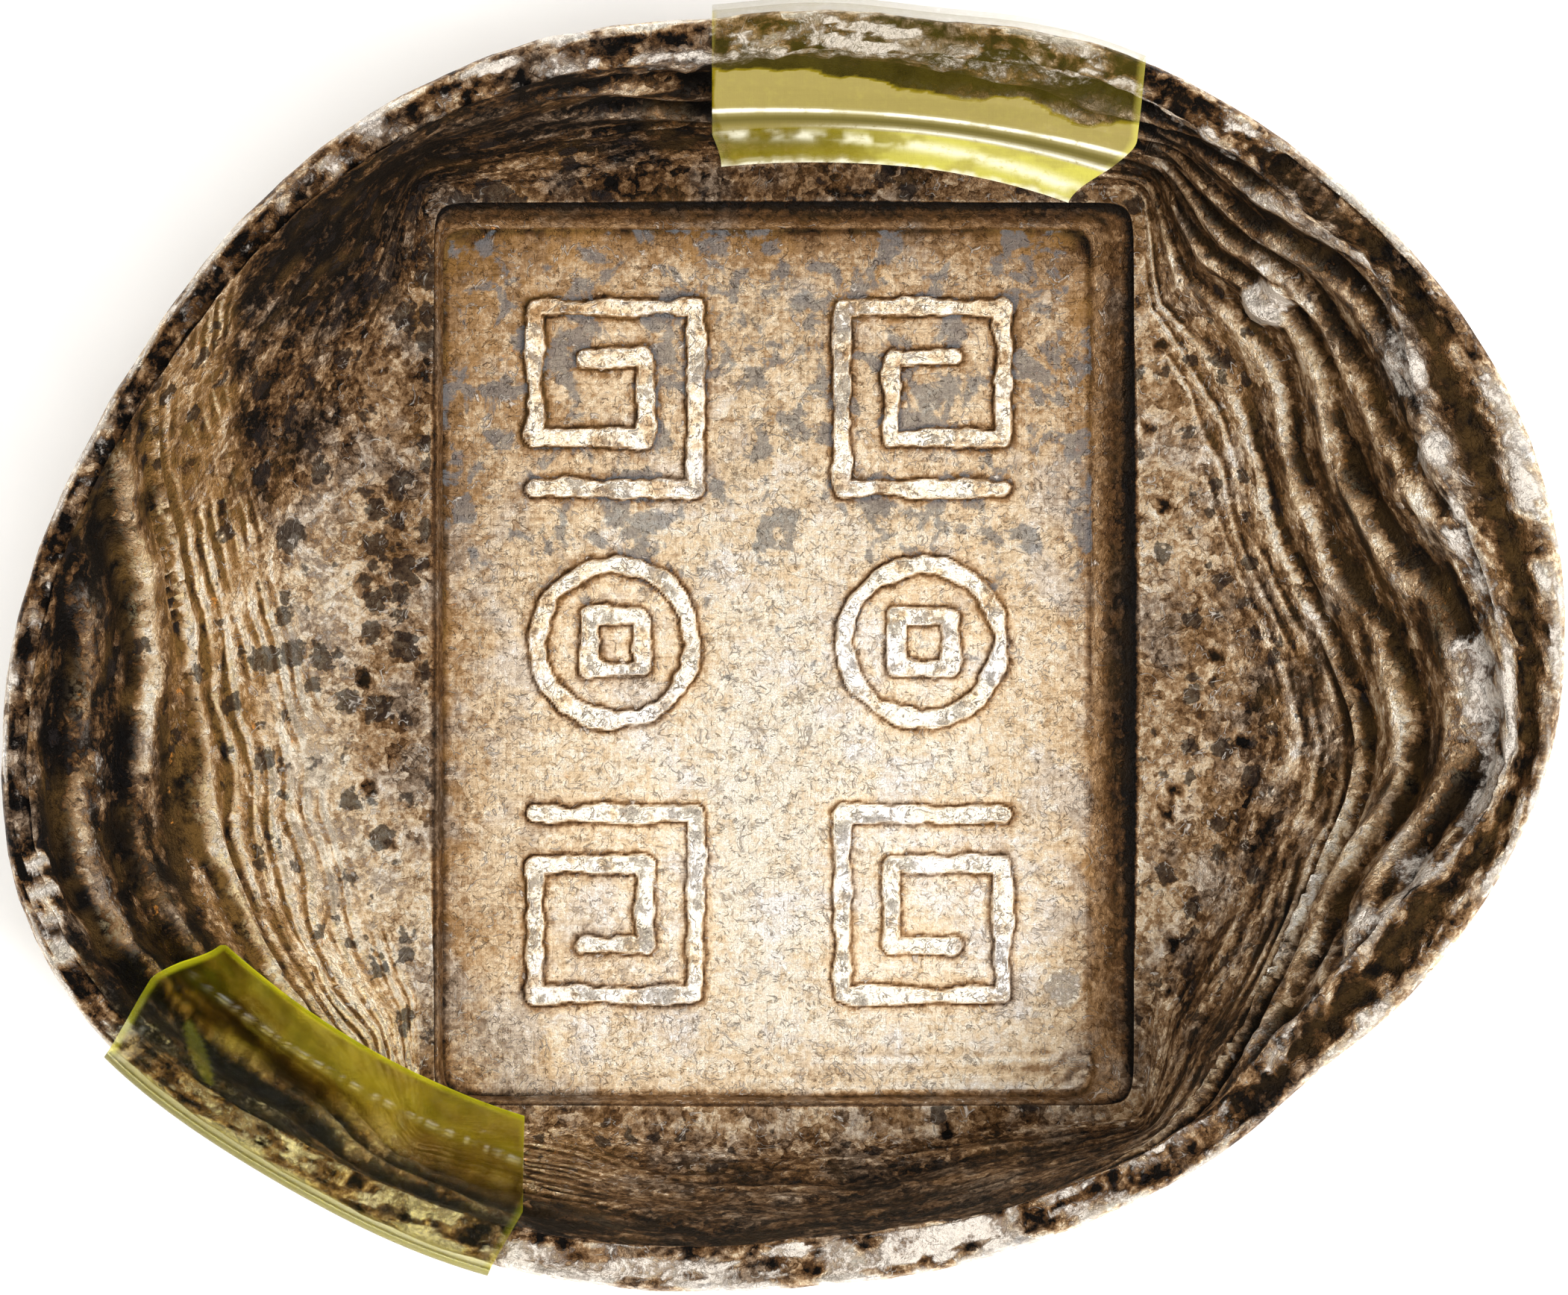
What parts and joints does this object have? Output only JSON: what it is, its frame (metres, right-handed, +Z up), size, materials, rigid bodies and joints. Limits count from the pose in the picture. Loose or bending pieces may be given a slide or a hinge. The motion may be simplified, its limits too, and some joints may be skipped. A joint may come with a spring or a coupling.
{
  "type": "silver sycee ingot",
  "caption": "Trough-shaped cast silver sycee ingot: an oval bowl with a crusty raised rim, rippled walls and a sunk rectangular panel, held at its rim by clear plastic clips.",
  "frame": {"origin": "centre of the flat spot underneath, on which the ingot rests", "axes": "+Z up out of the bowl, +X along the oval's length towards the doubled rim, +Y along the panel's long side towards the upper clip"},
  "size_m": [0.0601, 0.0501, 0.021],
  "materials": {
    "silver": "satin",
    "clear_plastic": "gloss"
  },
  "bodies": {
    "ingot": {"ingot": "silver"},
    "upper_clip": {"upper_clip": "clear_plastic"},
    "lower_clip": {"lower_clip": "clear_plastic"}
  },
  "joints": [
    {"name": "upper_clip_lift", "type": "slide", "parent": "ingot", "child": "upper_clip", "axis": [0, 0, 1], "range_m": [0, 0.012]},
    {"name": "lower_clip_lift", "type": "slide", "parent": "ingot", "child": "lower_clip", "axis": [0, 0, 1], "range_m": [0, 0.012]}
  ]
}
